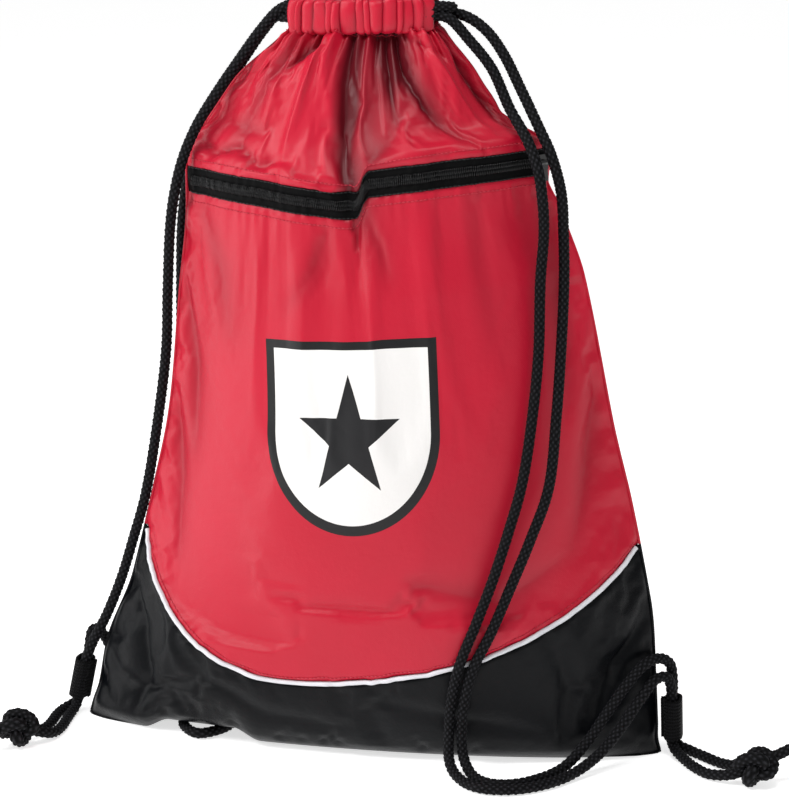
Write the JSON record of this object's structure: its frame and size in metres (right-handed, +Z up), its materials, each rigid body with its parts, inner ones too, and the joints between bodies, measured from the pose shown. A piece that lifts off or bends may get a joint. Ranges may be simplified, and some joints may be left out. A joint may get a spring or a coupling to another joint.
{
  "type": "drawstring backpack",
  "caption": "Filled drawstring backpack standing on its base, with a zipped front pocket, contrast lower panels, piping, a gathered mouth and braided shoulder cords.",
  "frame": {"origin": "on the ground under the middle of the bag", "axes": "+Z up, -Y out of the zipped front, +X to the right of someone facing the front"},
  "size_m": [0.4996, 0.1731, 0.464],
  "materials": {
    "crimson_nylon": "smooth satin nylon",
    "black_satin": "smooth satin nylon",
    "white_piping": "woven piping over cord",
    "black_tape": "knitted zip tape",
    "nylon_coil": "moulded nylon coil",
    "black_metal": "black enamel",
    "black_webbing": "ribbed webbing",
    "black_cord": "diamond braid",
    "grey_lining": "thin plain lining"
  },
  "bodies": {
    "bag": {"front_upper_panel": "crimson_nylon", "front_pocket_panel": "crimson_nylon", "back_panel": "crimson_nylon", "channel_front": "crimson_nylon", "channel_back": "crimson_nylon", "front_lower_panel": "black_satin", "back_lower_panel": "black_satin", "piping": "white_piping", "pocket_lining": "grey_lining", "zip_tape_upper": "black_tape", "zip_tape_lower": "black_tape", "zip_coil_upper": "nylon_coil", "zip_coil_lower": "nylon_coil", "zip_stop_left": "black_metal", "zip_stop_right": "black_metal", "corner_tab_left": "black_webbing", "corner_tab_right": "black_webbing", "right_cord_in_channel": "black_cord", "left_cord_in_channel": "black_cord", "right_strand_front": "black_cord", "right_strand_back": "black_cord", "left_strand_front": "black_cord", "left_strand_back": "black_cord", "right_knot": "black_cord", "left_knot": "black_cord"},
    "slider": {"zip_slider": "black_metal"},
    "pull": {"zip_pull": "black_metal"}
  },
  "joints": [
    {"name": "zip_travel", "type": "hinge", "parent": "bag", "child": "slider", "pos_m": [0, 0.10756, 0.357], "axis": [-0.0817, 0, 0.9967], "range_deg": [-84, 0]},
    {"name": "pull_swing", "type": "hinge", "parent": "slider", "child": "pull", "pos_m": [0.10744, -0.01203, 0.36581], "axis": [0.7403, 0.6695, 0.0607], "range_deg": [-60, 0]}
  ]
}
